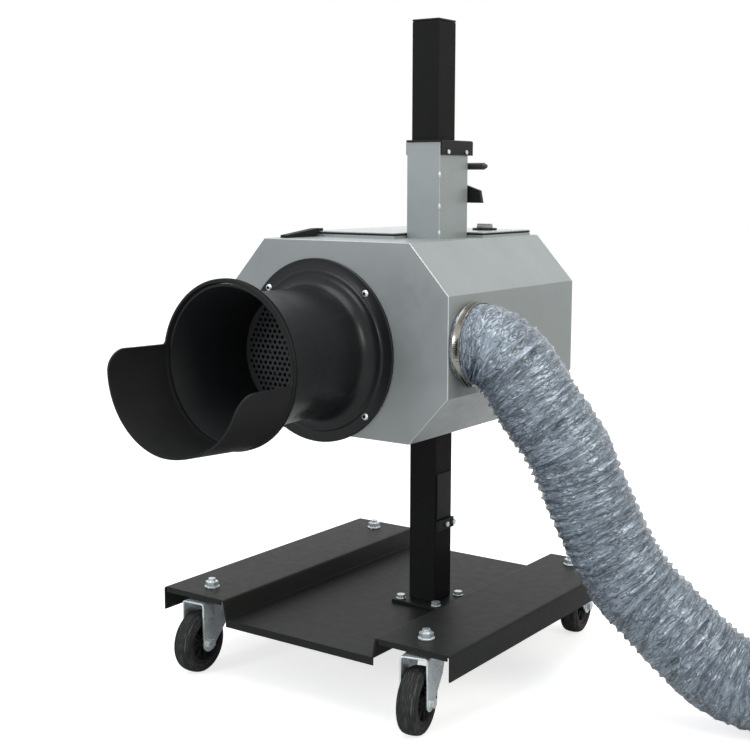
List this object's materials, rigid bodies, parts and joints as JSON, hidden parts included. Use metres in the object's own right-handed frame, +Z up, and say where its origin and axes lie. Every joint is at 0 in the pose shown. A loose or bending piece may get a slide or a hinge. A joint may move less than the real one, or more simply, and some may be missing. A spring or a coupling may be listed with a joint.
{
  "type": "mobile welding fume extractor",
  "caption": "Octagonal fan housing with a scooped intake hood and exhaust duct, sliding on a square post that stands on a folded sheet tray with castors.",
  "frame": {"origin": "on the floor, under the middle of the bounding box of everything but the exhaust duct", "axes": "+Z up along the post, -Y the way the intake hood faces, +X the side where the exhaust duct leaves"},
  "size_m": [1.1386, 1.0094, 1.0473],
  "materials": {
    "silver_paint": "satin silver grey",
    "black_paint": "satin black",
    "zinc": "bright zinc plate",
    "tyre_rubber": "matte",
    "black_plastic": "fine grained",
    "black_moulding": "semi-gloss moulding",
    "hood_rubber": "matte",
    "grey_plastic": "matte",
    "nylon": "plain",
    "motor_casting": "as cast",
    "fan_sheet": "mill",
    "polished_steel": "polished",
    "duct_cloth": "coated cloth over wire, slight sheen"
  },
  "bodies": {
    "trolley": {"base_tray": "black_paint", "post_foot_plate": "black_paint", "foot_bolt_1": "zinc", "foot_bolt_2": "zinc", "foot_bolt_3": "zinc", "foot_bolt_4": "zinc", "post": "black_paint", "post_cap": "black_plastic", "stop_plate": "black_paint", "stop_block": "black_paint", "stop_screw_1": "zinc", "stop_screw_2": "zinc", "castor_mount_front_left": "zinc", "castor_mount_front_right": "zinc", "castor_mount_rear_left": "zinc", "castor_mount_rear_right": "zinc"},
    "carriage": {"housing_front": "silver_paint", "housing_wrap": "silver_paint", "housing_back": "silver_paint", "bulkhead": "silver_paint", "sleeve": "silver_paint", "slide_pad_lower": "nylon", "slide_pad_upper": "nylon", "sleeve_cap": "black_paint", "cap_screw_right_1": "zinc", "cap_screw_left_1": "zinc", "cap_screw_right_2": "zinc", "cap_screw_left_2": "zinc", "lid_gasket": "hood_rubber", "lid": "silver_paint", "lid_strap": "hood_rubber", "switch_base": "black_plastic", "inlet_flange": "black_moulding", "flange_screw_1": "zinc", "flange_screw_2": "zinc", "flange_screw_3": "zinc", "flange_screw_4": "zinc", "grille": "black_paint", "motor": "motor_casting", "outlet_spigot": "zinc", "duct_clamp": "polished_steel", "exhaust_duct": "duct_cloth"},
    "fork_front_left": {"castor_fork_front_left": "zinc"},
    "wheel_front_left": {"castor_hub_front_left": "black_plastic", "castor_tyre_front_left": "tyre_rubber"},
    "fork_front_right": {"castor_fork_front_right": "zinc"},
    "wheel_front_right": {"castor_hub_front_right": "black_plastic", "castor_tyre_front_right": "tyre_rubber"},
    "fork_rear_left": {"castor_fork_rear_left": "zinc"},
    "wheel_rear_left": {"castor_hub_rear_left": "black_plastic", "castor_tyre_rear_left": "tyre_rubber"},
    "fork_rear_right": {"castor_fork_rear_right": "zinc"},
    "wheel_rear_right": {"castor_hub_rear_right": "black_plastic", "castor_tyre_rear_right": "tyre_rubber"},
    "impeller": {"impeller": "fan_sheet"},
    "hood": {"hood": "hood_rubber"},
    "switch_knob": {"switch_knob": "grey_plastic"},
    "clamp_bar": {"clamp_bar": "black_plastic"},
    "clamp_wing": {"clamp_wing": "black_plastic"}
  },
  "joints": [
    {"name": "carriage_slide", "type": "slide", "parent": "trolley", "child": "carriage", "axis": [0, 0, 1], "range_m": [-0.153, 0.175], "deforming": ["exhaust_duct"]},
    {"name": "swivel_front_left", "type": "hinge", "parent": "trolley", "child": "fork_front_left", "pos_m": [-0.2115, -0.13613, 0.1193], "axis": [0, 0, 1], "continuous": true},
    {"name": "roll_front_left", "type": "hinge", "parent": "fork_front_left", "child": "wheel_front_left", "pos_m": [-0.20899, -0.17204, 0.05], "axis": [0.9976, 0.0698, 0], "continuous": true},
    {"name": "swivel_front_right", "type": "hinge", "parent": "trolley", "child": "fork_front_right", "pos_m": [0.2115, -0.13613, 0.1193], "axis": [0, 0, 1], "continuous": true},
    {"name": "roll_front_right", "type": "hinge", "parent": "fork_front_right", "child": "wheel_front_right", "pos_m": [0.21899, -0.17134, 0.05], "axis": [0.9781, 0.2079, 0], "continuous": true},
    {"name": "swivel_rear_left", "type": "hinge", "parent": "trolley", "child": "fork_rear_left", "pos_m": [-0.2115, 0.32387, 0.1193], "axis": [0, 0, 1], "continuous": true},
    {"name": "roll_rear_left", "type": "hinge", "parent": "fork_rear_left", "child": "wheel_rear_left", "pos_m": [-0.20218, 0.35864, 0.05], "axis": [-0.9659, 0.2588, 0], "continuous": true},
    {"name": "swivel_rear_right", "type": "hinge", "parent": "trolley", "child": "fork_rear_right", "pos_m": [0.2115, 0.32387, 0.1193], "axis": [0, 0, 1], "continuous": true},
    {"name": "roll_rear_right", "type": "hinge", "parent": "fork_rear_right", "child": "wheel_rear_right", "pos_m": [0.20649, 0.35952, 0.05], "axis": [-0.9903, -0.1392, 0], "continuous": true},
    {"name": "impeller_spin", "type": "hinge", "parent": "carriage", "child": "impeller", "pos_m": [-0.036, 0.03627, 0.532], "axis": [0, 1, 0], "continuous": true},
    {"name": "hood_turn", "type": "hinge", "parent": "carriage", "child": "hood", "pos_m": [-0.036, -0.28233, 0.532], "axis": [0, 1, 0], "range_deg": [-90, 90]},
    {"name": "switch_turn", "type": "hinge", "parent": "carriage", "child": "switch_knob", "pos_m": [0.074, 0.24627, 0.7185], "axis": [0, 0, 1], "range_deg": [0, 90]},
    {"name": "clamp_bar_turn", "type": "hinge", "parent": "carriage", "child": "clamp_bar", "pos_m": [0.066, 0.16627, 0.8199], "axis": [0, 1, 0], "range_deg": [-180, 180]},
    {"name": "clamp_wing_turn", "type": "hinge", "parent": "carriage", "child": "clamp_wing", "pos_m": [0.066, 0.16127, 0.7719], "axis": [0, 1, 0], "range_deg": [-60, 60]}
  ]
}
